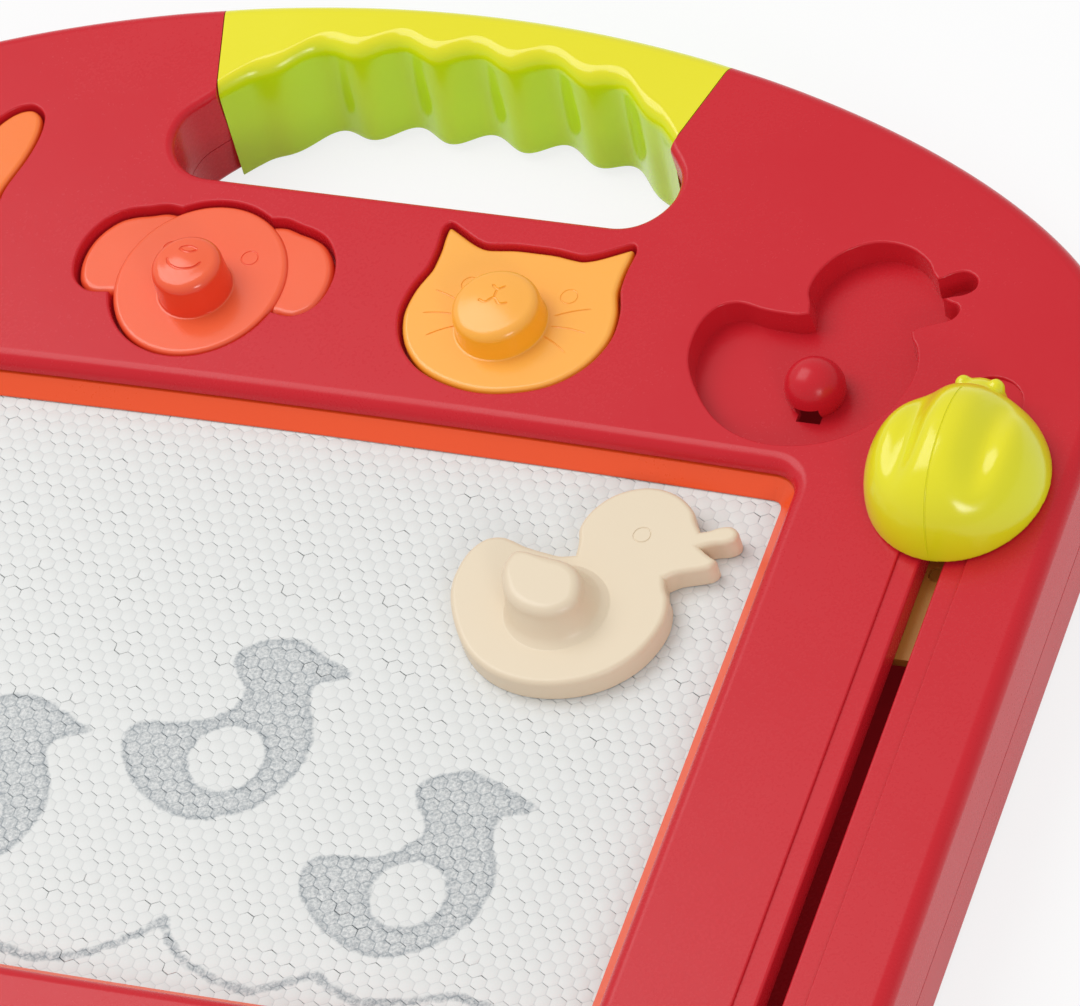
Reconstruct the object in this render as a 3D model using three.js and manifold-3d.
import * as THREE from 'three';
import { mergeVertices } from 'three/addons/utils/BufferGeometryUtils.js';
import Module from 'manifold-3d';

const wasm = await Module();
wasm.setup();

// Magnetic drawing board lying on its back. Millimetres, +X right, +Y to the handle, +Z up.
// The origin is on the table, under the middle of the board.

// Shells
const boardWidth = 438;
const boardHeight = 386;
const sideBorder = 82;
const bottomBorder = 55;
const footStand = 2;
const backDepth = 14;
const frontDepth = 20;
const wall = 2.5;
const topWall = 3;
const edgeRound = 4.5;
const backEdgeRound = 2;
const frontDraft = 0.4;
const backDraft = 0.2;
const cornerRadius = 42;
const shoulderDrop = 100.5;
const archReachShare = 0.51;
const shoulderRiseShare = 0.46;
const fitGap = 0.3;
const overrun = 1;

// Handle gap and grip
const gapHalfWidth = 77.4;
const gapFloorDrop = 70.9;
const gapRise = 29.4;
const gapLip = 2.4;
const jointInset = 7.4;
const jointReach = 8.6;
const jointBelowArch = 1.1;
const gripThickness = 19;
const gripArchDrop = 23.5;
const gripArchPower = 3.6;
const fingerPitch = 23.2;
const fingerDepth = 2.3;
const gripEdge = 1.4;
const gripWall = 2.6;
const gripArchWall = 5.6;
const gripFingerWall = 3;
const gripPlateDepth = 5;
const gripScrewInset = 14;
const tongueLength = 14;
const tongueWidth = 12;
const tongueHeight = 14;

// Screen window, bezel and drawing panel
const screenBow = 1.8;
const screenCorner = 3;
const screenDrop = 10.7;
const bezelSlope = 4.8;
const bezelSideFlange = 8.4;
const bezelEndFlange = 2.4;
const windowLip = 4.6;
const windowSkirt = 4;
const panelMargin = 11;
const filmThickness = 0.5;
const coreThickness = 2.9;
const stripInset = 2.2;
const stripWidth = 21;
const stripThickness = 2.2;
const stripEndMargin = 5;

// Slider track, knob, carriage and eraser
const slotShare = 0.617;
const slotWidth = 6.5;
const knobAboveScreen = 6.3;
const travelUp = 20;
const travelEndMargin = 9;
const trackWidth = 18.6;
const trackDepth = 1;
const skirtThickness = 2.2;
const skirtDepth = 4.4;
const stemHalfLength = 7;
const stemWidth = 5.7;
const knobWidth = 51;
const knobLength = 54;
const knobHeight = 26;
const knobHeadWidth = 15;
const carriageWidth = 15;
const carriageThickness = 3;
const carriageBelow = 54;
const carriageAbove = 44;
const carriageRail = 1.8;
const barOffset = 16;
const barWidth = 19;
const barThickness = 3;
const barEndMargin = 4;
const eraserGap = 0.9;
const channelGap = 0.8;
const channelHeight = 4.5;
const channelFloor = 2;
const channelInset = 0.8;
const magnetWidth = 11;
const magnetThickness = 2.6;

// Stamps and their recesses
const bunnySize = 28;
const dogSize = 26.3;
const catSize = 32.3;
const duckSize = 74;
const bunnyKnob = 11.5;
const dogKnob = 10.4;
const catKnob = 12.2;
const duckKnob = 14.4;
const tallKnobHeight = 13.5;
const bunnyKnobHeight = 12;
const lowKnobHeight = 10.5;
const faceGapMargin = 5.7;
const bunnyRowDrop = 2.4;
const duckRowDrop = 7.9;
const recessMargin = 2.1;
const duckFromSide = 45.2;
const duckFromTop = 52.6;
const duckTurn = -6;
const stampThickness = 7;
const stampEdge = 1.3;
const stampClearance = 1;
const recessDepth = 8;
const recessDraft = 0.5;
const recessLip = 0.7;
const cupWall = 2;
const sheetShare = 0.87;
const sheetThickness = 1.3;
const knobTopWall = 2;
const knobWall = 2.8;
const wingWall = 4.9;
const postGap = 0.8;
const postWall = 1.8;
const postTopWall = 1;
const postHoleWidth = 7;
const postHoleHeight = 4.4;

// Pen and its trough
const penLength = 118;
const penRadius = 5.6;
const penTipLength = 11;
const penCapLength = 10;
const troughGap = 1.9;
const troughDepth = 8;
const scoopLength = 34;
const scoopWidth = 25;

// Bosses, screws, feet and rails
const screwRadius = 1.4;
const screwHeadRadius = 3.2;
const screwHeadHeight = 2;
const caseScrewLength = 19;
const smallScrewLength = 8;
const bossRadius = 4.2;
const pilotRadius = 1.75;
const headWellRadius = 3.8;
const headWellDepth = 4;
const edgeScrewInset = 11;
const sideScrewShare = 0.311;
const cornerScrewInset = 52;
const endScrewInset = 22;
const handleScrewInset = 18.6;
const footRadius = 9;
const footSeatDepth = 1;
const footInset = 34;
const railGap = 0.3;
const railThickness = 2.4;
const ribThickness = 2;

// Heights worked out from the depths above
const backZ = footStand;
const seamZ = backZ + backDepth;
const topZ = seamZ + frontDepth;
const ceilingZ = topZ - topWall;
const screenZ = topZ - screenDrop;
const recessZ = topZ - recessDepth;
const carriageTopZ = ceilingZ - skirtDepth - fitGap;
const carriageZ = carriageTopZ - carriageThickness;
const coreTopZ = screenZ - filmThickness - fitGap;
const backFilmTopZ = coreTopZ - coreThickness - fitGap;
const channelTopZ = backFilmTopZ - filmThickness - eraserGap;
const barTopZ = channelTopZ - channelHeight;
const barBottom = barTopZ - barThickness;
const stripTopZ = backFilmTopZ - filmThickness - fitGap;
const stripZ = stripTopZ - stripThickness;

// Outlines in shares of the size named beside each of them, from the bottom middle up the right side
const catShares = [
  [0, -0.83], [0.3, -0.79], [0.62, -0.66], [0.87, -0.41], [0.99, -0.08], [0.96, 0.24], [0.9, 0.42],
  [0.89, 0.66], [0.9, 0.87], [0.86, 0.93], [0.78, 0.9], [0.6, 0.8], [0.45, 0.745], [0.22, 0.77],
];
const bunnyShares = [
  [0, -0.92], [0.36, -0.87], [0.74, -0.64], [0.98, -0.24], [1, 0.2], [0.86, 0.6], [0.84, 0.88],
  [0.92, 1.24], [0.96, 1.62], [0.9, 1.9], [0.74, 2], [0.55, 1.92], [0.38, 1.68], [0.24, 1.34],
  [0.13, 1.02],
];
const dogFaceShares = [1, 1.06];
const dogEarShares = [
  [0.52, 0.9], [0.9, 0.86], [1.22, 0.74], [1.43, 0.46], [1.49, 0.12], [1.4, -0.2], [1.2, -0.34],
  [1.0, -0.33], [0.78, -0.28], [0.5, 0.1],
];
const duckShares = [
  [-0.105, 0.295], [-0.14, 0.4], [-0.13, 0.49], [-0.075, 0.585], [0.01, 0.645], [0.09, 0.665],
  [0.19, 0.65], [0.275, 0.595], [0.33, 0.525], [0.375, 0.555], [0.43, 0.575], [0.478, 0.55],
  [0.485, 0.505], [0.45, 0.47], [0.378, 0.44], [0.445, 0.415], [0.455, 0.39], [0.44, 0.352],
  [0.37, 0.315], [0.303, 0.27], [0.345, 0.205], [0.372, 0.13], [0.375, 0.05], [0.34, -0.08],
  [0.25, -0.2], [0.12, -0.28], [-0.03, -0.315], [-0.18, -0.3], [-0.31, -0.235], [-0.42, -0.12],
  [-0.495, 0.01], [-0.512, 0.11], [-0.5, 0.21], [-0.455, 0.28], [-0.385, 0.305], [-0.3, 0.29],
  [-0.2, 0.282],
];
const gapShares = [[0.8, 0], [0.89, 0.06], [0.955, 0.21], [0.995, 0.45], [0.98, 0.74], [0.94, 0.89]];

// A quarter round in shares of its radius: how far up and how far over each point lies
const quarterShares = [[0, 0], [0.5, 0.134], [0.866, 0.5], [1, 1]];

// Places on the board worked out from its borders
const halfWidth = boardWidth / 2;
const halfHeight = boardHeight / 2;
const shoulderY = halfHeight - shoulderDrop;
const screenHalfWidth = halfWidth - sideBorder;
const gapFloorY = halfHeight - gapFloorDrop;

// The right half of the board's arch, from the shoulder to the top
const archSteps = 18;
const cornerSteps = 7;
const archPoints = new THREE.CubicBezierCurve(
  new THREE.Vector2(halfWidth, shoulderY),
  new THREE.Vector2(halfWidth, shoulderY + shoulderDrop * shoulderRiseShare),
  new THREE.Vector2(halfWidth * archReachShare, halfHeight),
  new THREE.Vector2(0, halfHeight),
).getPoints(archSteps);
function archY(x) {
  const next = archPoints.findIndex((p) => p.x <= x);
  const [a, b] = [archPoints[next - 1], archPoints[next]];
  return a.y + ((b.y - a.y) * (x - a.x)) / (b.x - a.x);
}
const jointInnerX = gapHalfWidth - jointInset;
const jointOuterX = jointInnerX + jointReach;
const jointOuterY = archY(jointOuterX) - jointBelowArch;
const gripArchY = halfHeight - gripThickness;

// Stamps: their sizes, and their places across the board as shares of its half width
const lowestShare = (shares) => Math.min(...shares.map(([, y]) => y));
const highestShare = (shares) => Math.max(...shares.map(([, y]) => y));
const faceRowY = gapFloorY - faceGapMargin - catSize * highestShare(catShares);
const stamps = [
  {
    name: 'bunny', size: bunnySize, acrossShare: -0.658, y: faceRowY - bunnyRowDrop,
    lowShare: lowestShare(bunnyShares), middleShares: [0, -0.5], knobShares: [0, -0.12],
    knobRadius: bunnyKnob, knobHeight: bunnyKnobHeight, hollowRadius: bunnyKnob - knobWall,
  },
  {
    name: 'dog', size: dogSize, acrossShare: -0.233, y: faceRowY,
    lowShare: -dogFaceShares[1], middleShares: [0, 0.4], knobShares: [0, -0.13],
    knobRadius: dogKnob, knobHeight: tallKnobHeight, hollowRadius: dogKnob - knobWall,
  },
  {
    name: 'cat', size: catSize, acrossShare: 0.198, y: faceRowY,
    lowShare: lowestShare(catShares), middleShares: [0, 0], knobShares: [-0.046, -0.062],
    knobRadius: catKnob, knobHeight: lowKnobHeight, hollowRadius: catKnob - knobWall,
  },
  {
    name: 'duck', size: duckSize, acrossShare: 0.622, y: faceRowY - duckRowDrop,
    lowShare: lowestShare(duckShares), middleShares: [-0.08, 0.257], knobShares: [0, 0],
    knobRadius: duckKnob, knobHeight: lowKnobHeight, hollowRadius: duckKnob - wingWall,
  },
].map((stamp) => ({ ...stamp, at: [halfWidth * stamp.acrossShare, stamp.y] }));

// The screen starts below the lowest recess, and the rest follows the screen
const recessLowY = Math.min(...stamps.map((stamp) => stamp.y + stamp.size * stamp.lowShare));
const screenTopY = recessLowY - recessMargin - windowLip - bezelSlope;
const screenBottomY = bottomBorder - halfHeight;
const stripInnerX = screenHalfWidth + stripInset;
const stripScrewX = stripInnerX + stripWidth * 0.8;
const stripMiddleY = (screenTopY + screenBottomY) / 2;
const stripHalfLength = (screenTopY - screenBottomY) / 2 - stripEndMargin;
const stripScrewPitch = stripHalfLength * 0.84;
const channelHalfLength = stripInnerX - channelGap;
const barLeftX = stripScrewX + barEndMargin;
const railX = screenHalfWidth + panelMargin;
const slotX = screenHalfWidth + sideBorder * slotShare;
const penX = -slotX;
const troughWidth = 2 * (penRadius + troughGap);
const troughLength = penLength + 2 * scoopLength * 0.27;
const knobRestY = screenTopY + knobAboveScreen;
const travelDown = knobRestY - carriageBelow + halfHeight - travelEndMargin;
const barRestY = knobRestY - barOffset;
const slotTopY = knobRestY + travelUp + stemHalfLength + fitGap;
const slotBottomY = knobRestY - travelDown - stemHalfLength - fitGap;
const duckOnScreen = [screenHalfWidth - duckFromSide, screenTopY - duckFromTop];

// Solids from closed geometry
function solidOf(geometry) {
  const bare = geometry.clone();
  for (const name of Object.keys(bare.attributes)) if (name !== 'position') bare.deleteAttribute(name);
  const merged = mergeVertices(bare, 1e-4);
  const points = merged.attributes.position;
  const index = Uint32Array.from(merged.index.array);
  const [a, b, c] = [new THREE.Vector3(), new THREE.Vector3(), new THREE.Vector3()];
  let volume = 0;
  for (let i = 0; i < index.length; i += 3) {
    a.fromBufferAttribute(points, index[i]);
    b.fromBufferAttribute(points, index[i + 1]);
    c.fromBufferAttribute(points, index[i + 2]);
    volume += a.dot(b.cross(c));
  }
  if (volume < 0) {
    for (let i = 0; i < index.length; i += 3) [index[i], index[i + 1]] = [index[i + 1], index[i]];
  }
  const kept = [];
  for (let i = 0; i < index.length; i += 3) {
    const [p, q, r] = [index[i], index[i + 1], index[i + 2]];
    if (p !== q && q !== r && r !== p) kept.push(p, q, r);
  }
  return new wasm.Manifold(new wasm.Mesh({
    numProp: 3,
    vertProperties: Float32Array.from(points.array),
    triVerts: Uint32Array.from(kept),
  }));
}
const join = (first, ...rest) => rest.reduce((sum, next) => sum.add(next), first);
const cut = (body, ...tools) => tools.reduce((rest, tool) => rest.subtract(tool), body);

// A closed skin over rings of points, from the lowest ring to the highest
function skin(rings) {
  const count = rings[0].length;
  const positions = rings.flat().flatMap((p) => [p.x, p.y, p.z]);
  const index = [];
  for (let level = 0; level + 1 < rings.length; level += 1) {
    for (let i = 0; i < count; i += 1) {
      const [a, b] = [level * count + i, level * count + ((i + 1) % count)];
      index.push(a, b, b + count, a, b + count, a + count);
    }
  }
  const flattened = (ring) => ring.map((p) => new THREE.Vector2(p.x, p.y));
  const cap = (level) => THREE.ShapeUtils.triangulateShape(flattened(rings[level]), []);
  for (const [a, b, c] of cap(0)) index.push(c, b, a);
  const top = (rings.length - 1) * count;
  for (const [a, b, c] of cap(rings.length - 1)) index.push(top + a, top + b, top + c);
  const geometry = new THREE.BufferGeometry();
  geometry.setAttribute('position', new THREE.Float32BufferAttribute(positions, 3));
  geometry.setIndex(index);
  return solidOf(geometry);
}

// Outline helpers: an outline is a list of Vector2, counter-clockwise
const flat = (points) => points.map(([x, y]) => new THREE.Vector2(x, y));
function inset(outline, distance) {
  const count = outline.length;
  const offset = outline.map((p, i) => {
    const before = p.clone().sub(outline[(i + count - 1) % count]).normalize();
    const after = outline[(i + 1) % count].clone().sub(p).normalize();
    const inward = new THREE.Vector2(-before.y - after.y, before.x + after.x).normalize();
    const share = Math.max(inward.dot(new THREE.Vector2(-before.y, before.x)), 0.6);
    return p.clone().addScaledVector(inward, distance / share);
  });
  return untangled(outline, offset);
}
// Where an offset turns an edge back on itself, the points of that stretch meet in their middle
function untangled(outline, offset, passes = 4) {
  const count = outline.length;
  const along = (points, i) => points[(i + 1) % count].clone().sub(points[i % count]);
  let points = offset;
  for (let pass = 0; pass < passes; pass += 1) {
    const back = outline.map((_, i) => along(outline, i).dot(along(points, i)) <= 0);
    const start = back.indexOf(false) + 1;
    const next = [...points];
    for (let k = 0; k < count; k += 1) {
      const first = start + k;
      let run = 0;
      while (back[(first + run) % count] && run < count) run += 1;
      const stretch = Array.from({ length: run + 1 }, (_, j) => (first + j) % count);
      const middle = new THREE.Vector2();
      for (const j of stretch) middle.addScaledVector(points[j], 1 / stretch.length);
      for (const j of stretch) next[j] = middle.clone();
      k += run;
    }
    points = next;
  }
  return points;
}
const raised = (outline, z) => outline.map((p) => new THREE.Vector3(p.x, p.y, z));
const loft = (outline, levels) => skin(levels.map(([z, amount]) => raised(inset(outline, amount), z)));
const prism = (outline, low, high) => loft(outline, [[low, 0], [high, 0]]);
function smooth(points, perSpan = 2) {
  const path = points.map((p) => new THREE.Vector3(p.x, p.y, 0));
  const curve = new THREE.CatmullRomCurve3(path, true, 'centripetal');
  return curve.getPoints(points.length * perSpan).slice(0, -1).map((p) => new THREE.Vector2(p.x, p.y));
}
const mirrored = (half) => [...half,
  ...half.filter((p) => p.x > 0).reverse().map((p) => new THREE.Vector2(-p.x, p.y))];
const moved = (outline, [x, y]) => outline.map((p) => new THREE.Vector2(p.x + x, p.y + y));
const scaled = (shares, size) => flat(shares).map((p) => p.multiplyScalar(size));
function ellipse(radiusX, radiusY, sides = 28) {
  return Array.from({ length: sides }, (_, i) => {
    const angle = (i / sides) * Math.PI * 2;
    return new THREE.Vector2(radiusX * Math.cos(angle), radiusY * Math.sin(angle));
  });
}
function arc([x, y], radius, from, to, steps) {
  return Array.from({ length: steps + 1 }, (_, i) => {
    const angle = from + ((to - from) * i) / steps;
    return new THREE.Vector2(x + radius * Math.cos(angle), y + radius * Math.sin(angle));
  });
}
const quarter = Math.PI / 2;
function withoutTwins(points) {
  const next = (i) => points[(i + 1) % points.length];
  return points.filter((p, i) => p.distanceTo(next(i)) > fitGap / 10);
}
// A rectangle with round corners, centred on a place. A bow curves its lower and upper edges outwards.
function roundedBox([x, y], halfX, lowY, highY, radius = halfX, bow = 0) {
  const [inX, low, high] = [halfX - radius, lowY + radius, highY - radius];
  const corner = (cornerX, cornerY, from) => arc([cornerX, cornerY], radius, from, from + quarter, 3);
  const bowShares = bow ? [-0.75, -0.5, -0.25, 0, 0.25, 0.5, 0.75] : [];
  const bowed = (edgeY, side) => bowShares.map((share) => new THREE.Vector2(
    -side * share * inX,
    edgeY + side * bow * (1 - share ** 2),
  ));
  const outline = [
    ...bowed(lowY, -1), ...corner(inX, low, -quarter), ...corner(inX, high, 0),
    ...bowed(highY, 1), ...corner(-inX, high, quarter), ...corner(-inX, low, 2 * quarter),
  ];
  return moved(withoutTwins(outline), [x, y]);
}
function box(lowX, highX, lowY, highY, lowZ, highZ) {
  return prism(flat([[lowX, lowY], [highX, lowY], [highX, highY], [lowX, highY]]), lowZ, highZ);
}
function disc([x, y], radius, low, high, sides = 16) {
  return prism(moved(ellipse(radius, radius, sides), [x, y]), low, high);
}

// Levels of a loft, each a height and an inset: a round upper edge, and the cutter for a round lip
const roundEdge = (high, radius) => quarterShares.map(([up, over]) => [
  high - radius * (1 - up),
  radius * over,
]);
const roundLevels = (low, high, radius) => [[low, 0], ...roundEdge(high, radius)];
const lipLevels = (low, high, radius) => [
  [low, 0],
  ...roundEdge(high, radius).map(([z, amount]) => [z, -amount]),
  [high + overrun, -radius - overrun],
];

// Turned pieces: a profile of radius and height pairs, from the axis at the bottom to the axis at the top
function turned(profile, [x, y, z], sides = 12) {
  const lathe = new THREE.LatheGeometry(flat(profile), sides);
  lathe.rotateX(quarter);
  lathe.translate(x, y, z);
  return solidOf(lathe);
}
const domed = (radius, height, rise = radius) => quarterShares.map(([up, over]) => [
  radius * (1 - over),
  height - rise * (1 - up),
]);

// The board's outline
function boardOutline() {
  const [bottom, side] = [-halfHeight, halfWidth];
  const [inX, inY] = [side - cornerRadius, bottom + cornerRadius];
  const leftArch = archPoints.slice(0, -1).reverse().map((p) => new THREE.Vector2(-p.x, p.y));
  return withoutTwins([
    ...arc([inX, inY], cornerRadius, -quarter, 0, cornerSteps), ...archPoints, ...leftArch,
    ...arc([-inX, inY], cornerRadius, 2 * quarter, 3 * quarter, cornerSteps),
  ]);
}
const board = boardOutline();

// The handle gap is open below the grip. The wedge is the part of the arch that the grip fills.
const gapHalf = gapShares.map(([x, y]) => new THREE.Vector2(x * gapHalfWidth, gapFloorY + y * gapRise));
const jointY = gapFloorY + gapRise;
const jointLean = (jointOuterX - jointInnerX) / (jointOuterY - jointY);
const wedgeX = (y) => jointInnerX + (y - jointY) * jointLean;
const wedgeTopY = halfHeight + edgeRound;
const gapOutline = mirrored([
  ...gapHalf,
  ...flat([[jointInnerX, jointY], [jointInnerX * 0.95, jointY + gapRise / 3]]),
]);
const voidOutline = mirrored([
  ...gapHalf,
  ...flat([[jointInnerX, jointY], [wedgeX(wedgeTopY), wedgeTopY]]),
]);

// Levels of the table side: a round lower edge, then sides that lean out to the seam
const backLevels = [
  ...quarterShares.map(([up, over]) => [
    backZ + backEdgeRound * (1 - up),
    backEdgeRound * over + backDraft + frontDraft,
  ]).reverse(),
  [seamZ - fitGap, frontDraft],
];

// Stamp outlines. Each is the edge of its recess, around the stamp's own place.
function stampOutline(stamp) {
  if (stamp.name === 'cat') return smooth(mirrored(scaled(catShares, stamp.size)));
  if (stamp.name === 'bunny') return smooth(mirrored(scaled(bunnyShares, stamp.size)));
  return smooth(scaled(duckShares, stamp.size)).reverse();
}
const dogFace = (size) => ellipse(size * dogFaceShares[0], size * dogFaceShares[1], 36);
const dogEar = (size, side) => {
  const ear = smooth(scaled(dogEarShares, size)).map((p) => new THREE.Vector2(p.x * side, p.y));
  return side > 0 ? ear.reverse() : ear;
};
// A stamp's shape as a solid: every outline of it, reshaped alike and lofted through the same levels
const grown = (amount) => (outline) => inset(outline, -amount);
function shrunk(stamp, margin) {
  const [x, y] = stamp.middleShares.map((share) => share * stamp.size * (1 - sheetShare));
  const smaller = (p) => new THREE.Vector2(p.x * sheetShare + x, p.y * sheetShare + y);
  return (outline) => inset(outline.map(smaller), -margin);
}
function stampLoft(stamp, levels, reshape, earDrop = 0) {
  const at = (outline) => moved(reshape(outline), stamp.at);
  if (stamp.name !== 'dog') return loft(at(stampOutline(stamp)), levels);
  const earLevels = levels.map(([z, amount], i) => [i ? z - earDrop : z, amount]);
  const ears = [-1, 1].map((side) => loft(at(dogEar(stamp.size, side)), earLevels));
  return join(loft(at(dogFace(stamp.size)), levels), ...ears);
}
const postPlace = (stamp) => stamp.at.map((place, i) => place + stamp.size * stamp.knobShares[i]);
const hollowTop = (stamp) => stampThickness + stamp.knobHeight - knobTopWall;

// Front cover
const windowOutline = roundedBox(
  [0, 0],
  screenHalfWidth + bezelSlope,
  screenBottomY - bezelSlope,
  screenTopY + bezelSlope,
  screenCorner + bezelSlope,
  screenBow,
);
const caseScrews = [
  ...[-1, 1].flatMap((side) => [
    [side * (halfWidth - edgeScrewInset), halfHeight * sideScrewShare],
    [side * (halfWidth - edgeScrewInset), -halfHeight * sideScrewShare],
    [side * (halfWidth - cornerScrewInset), endScrewInset + wall - halfHeight],
    [side * (gapHalfWidth + handleScrewInset), gapFloorY + bossRadius + wall],
  ]),
  [0, endScrewInset - halfHeight],
];
const stripScrews = [-1, 1].flatMap((side) => [-1, 0, 1].map((row) => [
  side * stripScrewX,
  stripMiddleY + row * stripScrewPitch,
]));
// A recess or a slot in the top, grown by an amount
const trackOutline = (grow) => roundedBox(
  [slotX, 0],
  trackWidth / 2 + grow,
  slotBottomY - trackWidth / 2 - grow,
  slotTopY + trackWidth / 2 + grow,
);
const slotOutline = (grow) => roundedBox(
  [slotX, 0],
  slotWidth / 2 + grow,
  slotBottomY - grow,
  slotTopY + grow,
);
const troughOutline = (grow) => roundedBox(
  [penX, 0],
  troughWidth / 2 + grow,
  -troughLength / 2 - grow,
  troughLength / 2 + grow,
);
const scoopOutline = (grow) => roundedBox(
  [penX, 0],
  scoopWidth / 2 + grow,
  -scoopLength / 2 - grow,
  scoopLength / 2 + grow,
  scoopWidth / 2 - overrun + grow,
);
const recessLevels = (floorZ, draft) => [
  [floorZ, draft],
  [topZ - recessLip, 0],
  [topZ, -recessLip],
  [topZ + overrun, -recessLip - overrun],
];

function coverShell() {
  const outer = loft(board, [[seamZ, frontDraft], ...roundEdge(topZ, edgeRound)]);
  const handleVoid = prism(voidOutline, seamZ - overrun, topZ + overrun);
  const gapEdge = loft(gapOutline, lipLevels(seamZ - overrun, topZ, gapLip));
  const cavity = cut(
    prism(inset(board, wall + frontDraft), seamZ - overrun, ceilingZ),
    prism(inset(voidOutline, -wall), seamZ - 2 * overrun, ceilingZ + overrun),
  );
  return cut(outer, handleVoid, gapEdge, cavity);
}
// What hangs below the top: screw bosses, the window's ring, the slot's skirt and rails, and the cups
function coverUnderside() {
  const top = ceilingZ + overrun;
  const bosses = [
    ...caseScrews.map((place) => disc(place, bossRadius, seamZ + fitGap, top)),
    ...stripScrews.map((place) => disc(place, bossRadius, stripTopZ + fitGap, top)),
  ];
  const ringLowZ = screenZ + bezelSlope + 3 * fitGap;
  const windowRing = prism(inset(windowOutline, -windowLip - windowSkirt), ringLowZ, top);
  const skirt = prism(slotOutline(skirtThickness), carriageTopZ + fitGap, top);
  const railOffset = carriageWidth / 2 + fitGap + carriageRail / 2;
  const railLowY = slotBottomY - carriageBelow + stemHalfLength;
  const railHighY = slotTopY + carriageAbove - 2 * stemHalfLength;
  const rails = [-1, 1].map((side) => slotX + side * railOffset).map((x) => box(
    x - carriageRail / 2,
    x + carriageRail / 2,
    railLowY,
    railHighY,
    carriageZ,
    top,
  ));
  const cupLevels = [[recessZ - cupWall, 0], [top, 0]];
  const cups = stamps.map((stamp) => stampLoft(stamp, cupLevels, grown(cupWall)));
  const penCups = [troughOutline(cupWall), scoopOutline(cupWall)]
    .map((outline) => prism(outline, topZ - troughDepth - cupWall, top));
  return [...bosses, windowRing, skirt, ...rails, ...cups, ...penCups];
}
function coverCutters() {
  const trackLevels = [[topZ - trackDepth, 0], [topZ + overrun, -overrun - trackDepth]];
  return [
    loft(windowOutline, lipLevels(screenZ - overrun, topZ, windowLip)),
    loft(trackOutline(0), trackLevels),
    prism(slotOutline(0), carriageZ, topZ + overrun),
    ...stamps.map((stamp) => stampLoft(stamp, recessLevels(recessZ, recessDraft), grown(0))),
    loft(troughOutline(0), recessLevels(topZ - troughDepth, recessDraft)),
    loft(scoopOutline(0), recessLevels(topZ - troughDepth, wall)),
  ];
}
// The hollow post that a stamp's knob sits over, with a small window at its foot
function withPost(cover, stamp) {
  const [x, y] = postPlace(stamp);
  const radius = stamp.hollowRadius - postGap;
  const height = hollowTop(stamp) - postGap - postTopWall;
  const bore = radius - postWall;
  const boreTop = height - radius * 0.2;
  const post = [[0, 0], [radius, 0], ...domed(radius, height)];
  const hollow = [[0, 0], [bore, 0], [bore, height - radius + cupWall], [bore / 2, boreTop], [0, boreTop]];
  const hole = box(
    x - postHoleWidth / 2,
    x + postHoleWidth / 2,
    y - radius - overrun,
    y - radius / 2,
    recessZ - cupWall - overrun,
    recessZ + postHoleHeight,
  );
  return cut(
    join(cover, turned(post, [x, y, recessZ - overrun], 20)),
    turned(hollow, [x, y, recessZ - cupWall - overrun], 14),
    hole,
  );
}
function frontCover() {
  const body = cut(join(coverShell(), ...coverUnderside()), ...coverCutters());
  const cover = stamps.reduce(withPost, body);
  const caseScrewTopZ = backZ + headWellDepth + caseScrewLength + overrun;
  const stripScrewTopZ = stripZ + smallScrewLength + overrun;
  return cut(
    cover,
    ...caseScrews.map((place) => disc(place, pilotRadius, seamZ - overrun, caseScrewTopZ, 8)),
    ...stripScrews.map((place) => disc(place, pilotRadius, stripTopZ - overrun, stripScrewTopZ, 8)),
    ...[-1, 1].map((side) => tongueSolid(side, fitGap)),
  );
}

// Handle grip, with a tongue into the shells at each end
function tongueSolid(side, grow) {
  const middleY = jointOuterY - tongueWidth + wall;
  const middleZ = (backZ + topZ) / 2;
  const [near, far] = [-1, 1].map((end) => side * (wedgeX(middleY) + end * tongueLength));
  return box(
    Math.min(near, far) - grow,
    Math.max(near, far) + grow,
    middleY - tongueWidth / 2 - grow,
    middleY + tongueWidth / 2 + grow,
    middleZ - tongueHeight / 2 - grow,
    middleZ + tongueHeight / 2 + grow,
  );
}
// The grip's lower edge with its finger grooves, from left to right
const fingerEdgeSteps = 52;
const gripReach = wedgeX(jointOuterY);
function fingerEdge(extra) {
  return Array.from({ length: fingerEdgeSteps + 1 }, (_, i) => {
    const x = gripReach * ((2 * i) / fingerEdgeSteps - 1);
    const arch = gripArchY - gripArchDrop * (Math.abs(x) / jointInnerX) ** gripArchPower;
    return new THREE.Vector2(x, arch + fingerDepth * Math.cos((x / fingerPitch) * Math.PI * 2) + extra);
  });
}
const gripRegion = (extra) => [
  ...fingerEdge(extra),
  ...flat([[gripReach, wedgeTopY + overrun], [-gripReach, wedgeTopY + overrun]]),
];
function gripEnds(clearance) {
  const low = gapFloorY + clearance;
  const [lowX, highX] = [wedgeX(low) - clearance, wedgeX(wedgeTopY) - clearance];
  return flat([[-lowX, low], [lowX, low], [highX, wedgeTopY], [-highX, wedgeTopY]]);
}
const gripPlateTopZ = backZ + gripPlateDepth;
const gripScrews = [-1, 1].map((side) => [side * fingerPitch * 1.5, halfHeight - gripScrewInset]);
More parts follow.
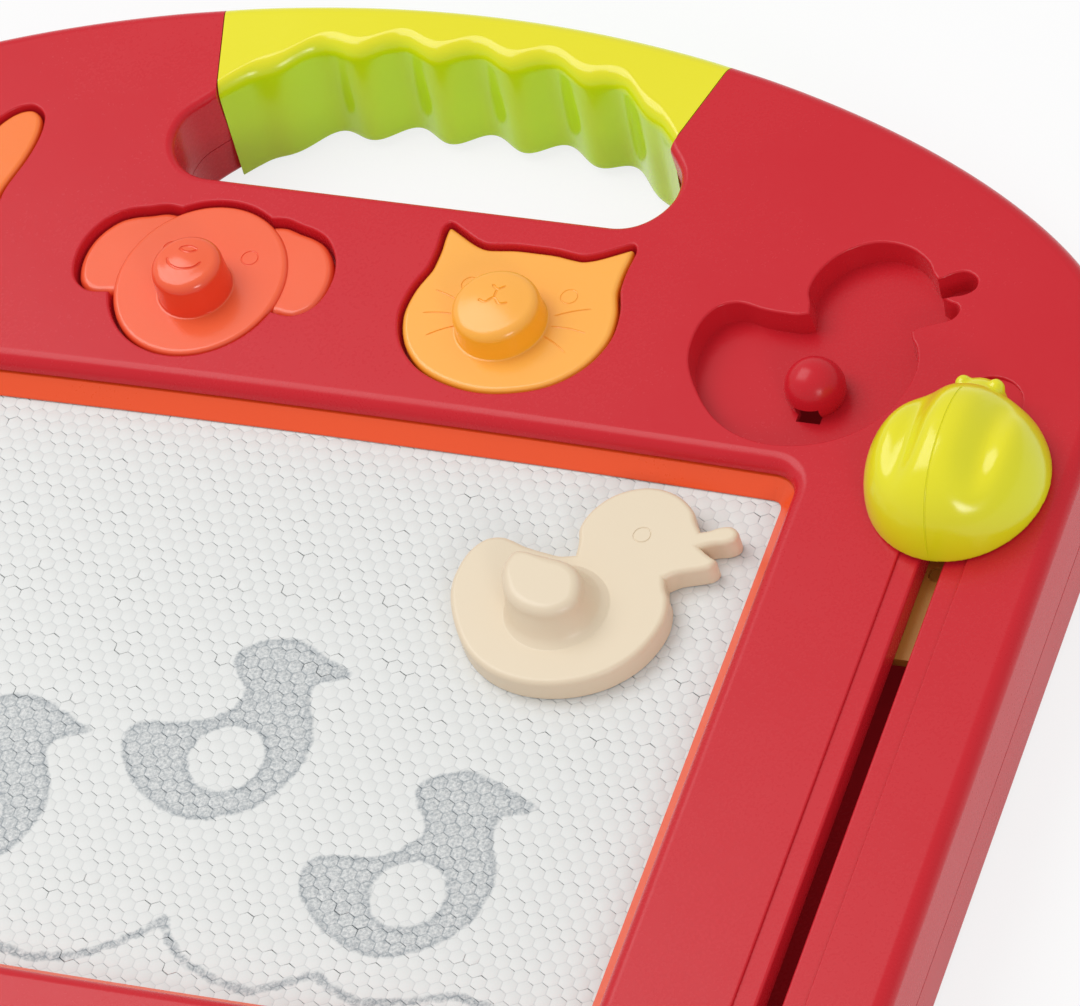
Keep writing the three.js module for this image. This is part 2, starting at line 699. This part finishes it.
// The space inside the grip's walls, which the plate closes from below
const gripInside = (clearance, lowZ, highZ) => prism(inset(board, gripArchWall + clearance), lowZ, highZ)
  .intersect(prism(gripEnds(gripWall + fitGap + clearance), lowZ - overrun, highZ + overrun))
  .intersect(prism(gripRegion(gripFingerWall + clearance), lowZ - overrun, highZ + overrun));
function handleGrip() {
  const lowEdge = quarterShares.map(([up, over]) => [backZ + gripEdge * (1 - up), gripEdge * over]).reverse();
  const body = loft(board, [...backLevels, ...roundEdge(topZ, edgeRound)])
    .intersect(prism(gripEnds(fitGap), backZ - overrun, topZ + overrun))
    .intersect(loft(gripRegion(0), [...lowEdge, ...roundEdge(topZ, gripEdge)]));
  const ceiling = topZ - gripWall;
  const bossLowZ = gripPlateTopZ + fitGap;
  const bosses = gripScrews.map((place) => disc(place, bossRadius, bossLowZ, ceiling + overrun));
  const screwTopZ = gripPlateTopZ + smallScrewLength + overrun;
  const pilots = gripScrews.map((place) => disc(place, pilotRadius, bossLowZ - overrun, screwTopZ, 8));
  const tongues = [-1, 1].map((side) => cut(tongueSolid(side, 0), tongueTrim(side)));
  return cut(join(cut(body, gripInside(0, backZ - overrun, ceiling)), ...tongues, ...bosses), ...pilots);
}
function tongueTrim(side) {
  const innerX = wedgeX(jointOuterY - tongueWidth) - gripWall - wall;
  const [lowX, highX] = side > 0 ? [0, innerX] : [-innerX, 0];
  return box(lowX, highX, gapFloorY, wedgeTopY, 0, topZ);
}
function gripPlate() {
  return cut(
    gripInside(fitGap, backZ, gripPlateTopZ),
    ...gripScrews.map((place) => disc(place, pilotRadius, backZ - overrun, gripPlateTopZ + overrun, 10)),
    ...gripScrews.map((place) => disc(place, headWellRadius, backZ - overrun, backZ + wall)),
  );
}

// Back cover
const feet = [-1, 1].flatMap((side) => [footInset - halfHeight, shoulderY + footRadius]
  .map((y) => [side * (halfWidth - footInset), y]));
function backCover() {
  const outer = loft(board, backLevels);
  const cavity = cut(
    prism(inset(board, wall + 2 * backDraft), backZ + wall, seamZ + overrun),
    prism(inset(voidOutline, -wall), backZ, seamZ + 2 * overrun),
  );
  const lowerLip = lipLevels(-frontDepth, 0, gapLip).map(([z, amount]) => [backZ - z, amount]).reverse();
  const shell = cut(
    outer,
    prism(voidOutline, backZ - overrun, seamZ + overrun),
    loft(gapOutline, lowerLip),
    cavity,
  );
  const floorZ = backZ + wall - overrun;
  const rails = [-1, 1].map((side) => side * railX).map((x) => box(
    x - railThickness / 2,
    x + railThickness / 2,
    barRestY - travelDown - barWidth,
    barRestY + travelUp + barWidth,
    floorZ,
    barBottom - railGap,
  ));
  const crossRibs = [-1, 1].map((side) => stripMiddleY + side * stripScrewPitch).map((y) => box(
    -railX,
    railX,
    y - ribThickness / 2,
    y + ribThickness / 2,
    floorZ,
    backZ + 2 * wall,
  ));
  const posts = caseScrews.map((place) => disc(place, bossRadius + wall, floorZ, seamZ - fitGap));
  const pads = feet.map((place) => disc(place, footRadius + wall, floorZ, backZ + wall + footSeatDepth));
  return cut(
    join(shell, ...rails, ...crossRibs, ...posts, ...pads),
    ...caseScrews.map((place) => disc(place, pilotRadius, backZ - overrun, seamZ + overrun, 10)),
    ...caseScrews.map((place) => disc(place, headWellRadius, backZ - overrun, backZ + headWellDepth)),
    ...feet.map((place) => disc(place, footRadius + fitGap, backZ - overrun, backZ + footSeatDepth)),
    ...[-1, 1].map((side) => tongueSolid(side, fitGap)),
  );
}

// Screws, placed by the seat under the head, pointing up
function screw([x, y], seatZ, length) {
  return turned([
    [0, -screwHeadHeight],
    [screwHeadRadius * 0.7, -screwHeadHeight],
    [screwHeadRadius, -screwHeadHeight * 0.55],
    [screwHeadRadius, 0],
    [screwRadius, 0],
    [screwRadius, length - screwRadius],
    [0, length],
  ], [x, y, seatZ - fitGap], 10);
}

// Bezel and drawing panel
const screenOutline = (extraX, extraY) => roundedBox(
  [0, 0],
  screenHalfWidth + extraX,
  screenBottomY - extraY,
  screenTopY + extraY,
  screenCorner,
  screenBow,
);
const panelSheet = (top, thickness) => prism(screenOutline(panelMargin, panelMargin), top - thickness, top);
function bezel() {
  const [lowZ, highZ] = [screenZ + fitGap, screenZ + fitGap + bezelSlope];
  const flange = prism(
    screenOutline(bezelSlope + bezelSideFlange, bezelSlope + bezelEndFlange),
    lowZ,
    highZ,
  );
  const openingLevels = [[lowZ - overrun, 0], [lowZ + fitGap, 0], [highZ + fitGap, -bezelSlope]];
  return cut(flange, loft(screenOutline(0, 0), openingLevels));
}
function panelStrip(side) {
  const middleX = side * (stripInnerX + stripWidth / 2);
  const [lowY, highY] = [stripMiddleY - stripHalfLength, stripMiddleY + stripHalfLength];
  return cut(
    prism(roundedBox([middleX, 0], stripWidth / 2, lowY, highY, wall), stripZ, stripTopZ),
    ...stripScrews.map((place) => disc(place, pilotRadius, stripZ - overrun, stripTopZ + overrun, 10)),
  );
}

// Eraser: bar with its magnet strip, carriage and slider knob
const barRightX = slotX + carriageWidth / 2;
const legBottomZ = barTopZ + fitGap;
function eraserBar() {
  const barHalfX = (barRightX + barLeftX) / 2;
  const barMiddle = [(barRightX - barLeftX) / 2, barRestY];
  const plate = prism(roundedBox(barMiddle, barHalfX, -barWidth / 2, barWidth / 2, wall), barBottom, barTopZ);
  const channelHalf = barWidth / 2 - channelInset;
  const channel = box(
    -channelHalfLength,
    channelHalfLength,
    barRestY - channelHalf,
    barRestY + channelHalf,
    barTopZ - overrun,
    channelTopZ,
  );
  const grooveHalfLength = channelHalfLength - wall + fitGap;
  const grooveHalf = magnetWidth / 2 + fitGap;
  const groove = box(
    -grooveHalfLength,
    grooveHalfLength,
    barRestY - grooveHalf,
    barRestY + grooveHalf,
    barTopZ + channelFloor,
    stripTopZ,
  );
  const screwHole = disc([slotX, barRestY], pilotRadius, barBottom - overrun, carriageZ, 10);
  return cut(join(plate, channel), groove, screwHole);
}
function eraserMagnet() {
  const low = barTopZ + channelFloor + fitGap;
  return box(
    wall - channelHalfLength,
    channelHalfLength - wall,
    barRestY - magnetWidth / 2,
    barRestY + magnetWidth / 2,
    low,
    low + magnetThickness,
  );
}
function carriage() {
  const outline = roundedBox([slotX, knobRestY], carriageWidth / 2, -carriageBelow, carriageAbove, wall);
  const plate = prism(outline, carriageZ, carriageTopZ);
  const legHalf = carriageWidth / 2 - wall / 2;
  const leg = box(
    slotX - legHalf,
    slotX + legHalf,
    barRestY - legHalf,
    barRestY + legHalf,
    legBottomZ,
    carriageZ + overrun,
  );
  const legScrewTopZ = legBottomZ + smallScrewLength;
  const dimplePlace = [slotX, barRestY - stemHalfLength * 1.3];
  return cut(
    join(plate, leg),
    disc([slotX, knobRestY], pilotRadius, carriageZ - overrun, topZ, 10),
    disc([slotX, barRestY], pilotRadius, legBottomZ - overrun, legScrewTopZ, 10),
    disc(dimplePlace, screwHeadRadius * 0.8, carriageTopZ - overrun, topZ, 12),
  );
}
const knobRings = 7;
const knobSides = 36;
const knobTopTurn = quarter - 0.12;
const fingerDentShare = 0.16;
const dentStartShare = 0.45;
const knobHeadShares = [0.82, 0.5];
const knobHeadLevelShares = [-0.2, -0.11, -0.02, 0.07];
function knobDome(rimZ) {
  return skin(Array.from({ length: knobRings + 1 }, (_, level) => {
    const rise = Math.min((level / knobRings) * quarter, knobTopTurn);
    return Array.from({ length: knobSides }, (_side, i) => {
      const angle = (i / knobSides) * Math.PI * 2;
      const beside = Math.max(0, Math.abs(Math.cos(angle)) - dentStartShare);
      const reach = Math.cos(rise) ** 0.85 * (1 - fingerDentShare * Math.sin(2 * rise) ** 2 * beside);
      return new THREE.Vector3(
        slotX + (knobWidth / 2) * reach * Math.cos(angle),
        knobRestY + (knobLength / 2) * reach * Math.sin(angle),
        rimZ + knobHeight * Math.sin(rise),
      );
    });
  }));
}
function knob() {
  const rimZ = topZ + fitGap;
  const headY = knobRestY + (knobLength / 2) * knobHeadShares[0];
  const headZ = rimZ + knobHeight * knobHeadShares[1];
  const headHalf = knobHeadWidth / 2;
  const head = skin(knobHeadLevelShares.map((share, level) => {
    const half = headHalf * (1 - level * 0.12);
    const outline = moved(ellipse(half, half - headHalf * 0.2, 16), [slotX, headY]);
    return raised(outline, headZ + knobHeight * share);
  }));
  const bumps = [-1, 1].map((side) => {
    const bump = new THREE.SphereGeometry(headHalf * 0.3, 10, 6);
    bump.translate(slotX + side * headHalf * 0.55, headY + headHalf * 0.6, headZ - knobHeight * 0.02);
    return solidOf(bump);
  });
  const place = [slotX, knobRestY];
  const stemOutline = roundedBox(place, stemWidth / 2, -stemHalfLength, stemHalfLength);
  const stem = prism(stemOutline, carriageTopZ + fitGap, rimZ + overrun);
  const pad = disc(place, trackWidth / 2 - fitGap, topZ - trackDepth + fitGap, rimZ + overrun, 20);
  const pilotTopZ = carriageZ + smallScrewLength + carriageThickness;
  const pilot = disc(place, pilotRadius, carriageTopZ - overrun, pilotTopZ, 8);
  return cut(join(knobDome(rimZ), head, ...bumps, stem, pad), pilot);
}

// Stamps: a plate with a hollow knob, and a magnet sheet let into its underside
function stampSeated(solid, stamp) {
  if (stamp.name !== 'duck') return solid.translate([0, 0, recessZ + fitGap]);
  const turnedDuck = solid.translate([-stamp.at[0], -stamp.at[1], 0]).rotate([0, 0, duckTurn]);
  return turnedDuck.translate([...duckOnScreen, screenZ + fitGap]);
}
// A round knob: radius in shares of its taper, and depth below its top in shares of its radius
const knobTaperShare = 0.93;
const knobTopShares = [[1, 0.45], [0.9, 0.2], [0.66, 0.05], [0, 0]];
function roundKnob(stamp, lowZ, topOfKnob) {
  const radius = stamp.knobRadius;
  const upper = knobTopShares.map(([out, down]) => [
    radius * knobTaperShare * out,
    topOfKnob - radius * down,
  ]);
  const lower = [[0, lowZ], [radius, lowZ], [radius, stampThickness]];
  return turned([...lower, ...upper], [...postPlace(stamp), 0], 24);
}
// The duck's knob is a wing: depth below its top, size and lean of each ring, in shares of its radius
const wingRingShares = [[0.32, 0.9, 1], [0.1, 0.8, 1.05], [0, 0.614, 1.1]];
const wingLeanShares = [-0.2, 0.22];
const wingFootLeanShare = 0.7;
const wingTailShare = 0.28;
function wingKnob(stamp, lowZ, topOfKnob) {
  const radius = stamp.knobRadius;
  const [x, y] = postPlace(stamp);
  const ring = (z, share, leanShare) => {
    const [leanX, leanY] = wingLeanShares.map((lean) => lean * radius * leanShare);
    return ellipse(radius * share, radius * share * 0.96).map((p) => {
      const tail = Math.max(0, (p.y - p.x) / (radius * Math.SQRT2)) ** 3 * wingTailShare * radius * share;
      return new THREE.Vector3(x + p.x + leanX - tail * 0.7, y + p.y + leanY + tail * 0.7, z);
    });
  };
  return skin([
    ring(lowZ, 1, wingFootLeanShare),
    ring(stampThickness, 1, wingFootLeanShare),
    ...wingRingShares.map(([down, share, leanShare]) => ring(topOfKnob - radius * down, share, leanShare)),
  ]);
}
function stampBody(stamp) {
  const plateLevels = roundLevels(0, stampThickness, stampEdge);
  const plate = stampLoft(stamp, plateLevels, grown(-stampClearance), stampEdge * 0.8);
  const knobSolid = stamp.name === 'duck' ? wingKnob : roundKnob;
  const handle = knobSolid(stamp, stampThickness - stampEdge, stampThickness + stamp.knobHeight);
  const pocket = stampLoft(stamp, [[-overrun, 0], [sheetThickness + fitGap, 0]], shrunk(stamp, fitGap));
  const bore = stamp.hollowRadius;
  const insideDome = domed(bore, hollowTop(stamp), bore * 0.8);
  const hollow = turned([[0, -overrun], [bore, -overrun], ...insideDome], [...postPlace(stamp), 0], 20);
  return stampSeated(cut(join(plate, handle), pocket, hollow), stamp);
}
function stampSheet(stamp) {
  const sheet = stampLoft(stamp, [[0, 0], [sheetThickness, 0]], shrunk(stamp, 0));
  const holeRadius = stamp.hollowRadius + fitGap;
  const hole = disc(postPlace(stamp), holeRadius, -overrun, sheetThickness + overrun, 20);
  return stampSeated(cut(sheet, hole), stamp);
}

// Pen: barrel with a magnetic tip and an end cap, lying along the trough
function alongTrough(profile, startY) {
  const lathe = new THREE.LatheGeometry(flat(profile), 14);
  lathe.translate(penX, startY, topZ - troughDepth + penRadius + fitGap);
  return solidOf(lathe);
}
const barrelLength = penLength - penTipLength - penCapLength;
const barrelStartY = penTipLength - penLength / 2;
// Each profile is of radius and length pairs, in shares of the pen's radius and of the piece's length
const tipShares = [[0, -1], [0.36, -1], [0.45, -0.85], [0.86, 0], [0, 0]];
const barrelShares = [[0, 0], [0.9, 0], [1, 0.057], [0.86, 0.5], [1, 0.943], [0.94, 1], [0, 1]];
const capShares = [[0, 0], [0.94, 0], [0.94, 0.6], [0.6, 0.95], [0, 1]];
function penPiece(shares, length, startY) {
  return alongTrough(shares.map(([out, along]) => [penRadius * out, length * along]), startY);
}

function foot([x, y]) {
  const top = footStand + footSeatDepth - fitGap;
  return turned([
    [0, 0],
    [footRadius - footSeatDepth, 0],
    [footRadius, footSeatDepth / 2],
    [footRadius, top],
    [0, top],
  ], [x, y, 0], 20);
}

// Finishes
function plastic(color) {
  return new THREE.MeshStandardMaterial({ color, roughness: 0.35, metalness: 0 });
}
const steel = new THREE.MeshStandardMaterial({ color: 0xb8bcc0, roughness: 0.35, metalness: 1 });
const magnetic = new THREE.MeshStandardMaterial({ color: 0x4a403b, roughness: 0.7, metalness: 0 });
const rubber = new THREE.MeshStandardMaterial({ color: 0x2a2a2a, roughness: 0.9, metalness: 0 });
const red = plastic(0xd0303c);
const lime = plastic(0xdcdc28);
const orange = plastic(0xf06030);
const ochre = plastic(0xbe8c3c);
const pale = plastic(0xe8e8e8);
const stampPlastics = {
  bunny: plastic(0xf58a3c),
  dog: plastic(0xf06a42),
  cat: plastic(0xfab04c),
  duck: plastic(0xe4d4be),
};

const group = new THREE.Group();
function add(name, solid, material) {
  const { vertProperties, triVerts } = solid.getMesh();
  const geometry = new THREE.BufferGeometry();
  geometry.setAttribute('position', new THREE.Float32BufferAttribute(vertProperties, 3));
  geometry.setIndex(new THREE.Uint32BufferAttribute(triVerts, 1));
  geometry.computeVertexNormals();
  const mesh = new THREE.Mesh(geometry, material);
  mesh.name = name;
  group.add(mesh);
}

add('front_cover', frontCover(), red);
add('back_cover', backCover(), red);
add('handle_grip', handleGrip(), lime);
add('handle_grip_back', gripPlate(), lime);
add('screen_bezel', bezel(), orange);
add('screen_front_film', panelSheet(screenZ, filmThickness), pale);
add('screen_honeycomb', panelSheet(coreTopZ, coreThickness), pale);
add('screen_back_film', panelSheet(backFilmTopZ, filmThickness), pale);
add('panel_strip_left', panelStrip(-1), pale);
add('panel_strip_right', panelStrip(1), pale);
add('eraser_bar', eraserBar(), ochre);
add('eraser_magnet_strip', eraserMagnet(), magnetic);
add('slider_carriage', carriage(), ochre);
add('slider_knob', knob(), lime);
add('slider_screw', screw([slotX, knobRestY], carriageZ, smallScrewLength), steel);
add('eraser_bar_screw', screw([slotX, barRestY], barBottom, smallScrewLength), steel);
for (const stamp of stamps) {
  add(`${stamp.name}_stamp`, stampBody(stamp), stampPlastics[stamp.name]);
  add(`${stamp.name}_stamp_magnet`, stampSheet(stamp), magnetic);
}
add('pen_tip', penPiece(tipShares, penTipLength, barrelStartY - fitGap), lime);
add('pen_barrel', penPiece(barrelShares, barrelLength, barrelStartY), orange);
add('pen_cap', penPiece(capShares, penCapLength, barrelStartY + barrelLength + fitGap), lime);
const caseSeatZ = backZ + headWellDepth;
caseScrews.forEach((place, i) => add(`case_screw_${i + 1}`, screw(place, caseSeatZ, caseScrewLength), steel));
stripScrews.forEach((place, i) => add(`panel_screw_${i + 1}`, screw(place, stripZ, smallScrewLength), steel));
gripScrews.forEach((place, i) => {
  add(`grip_screw_${i + 1}`, screw(place, backZ + wall, smallScrewLength), steel);
});
feet.forEach((place, i) => add(`foot_${i + 1}`, foot(place), rubber));

export default group;
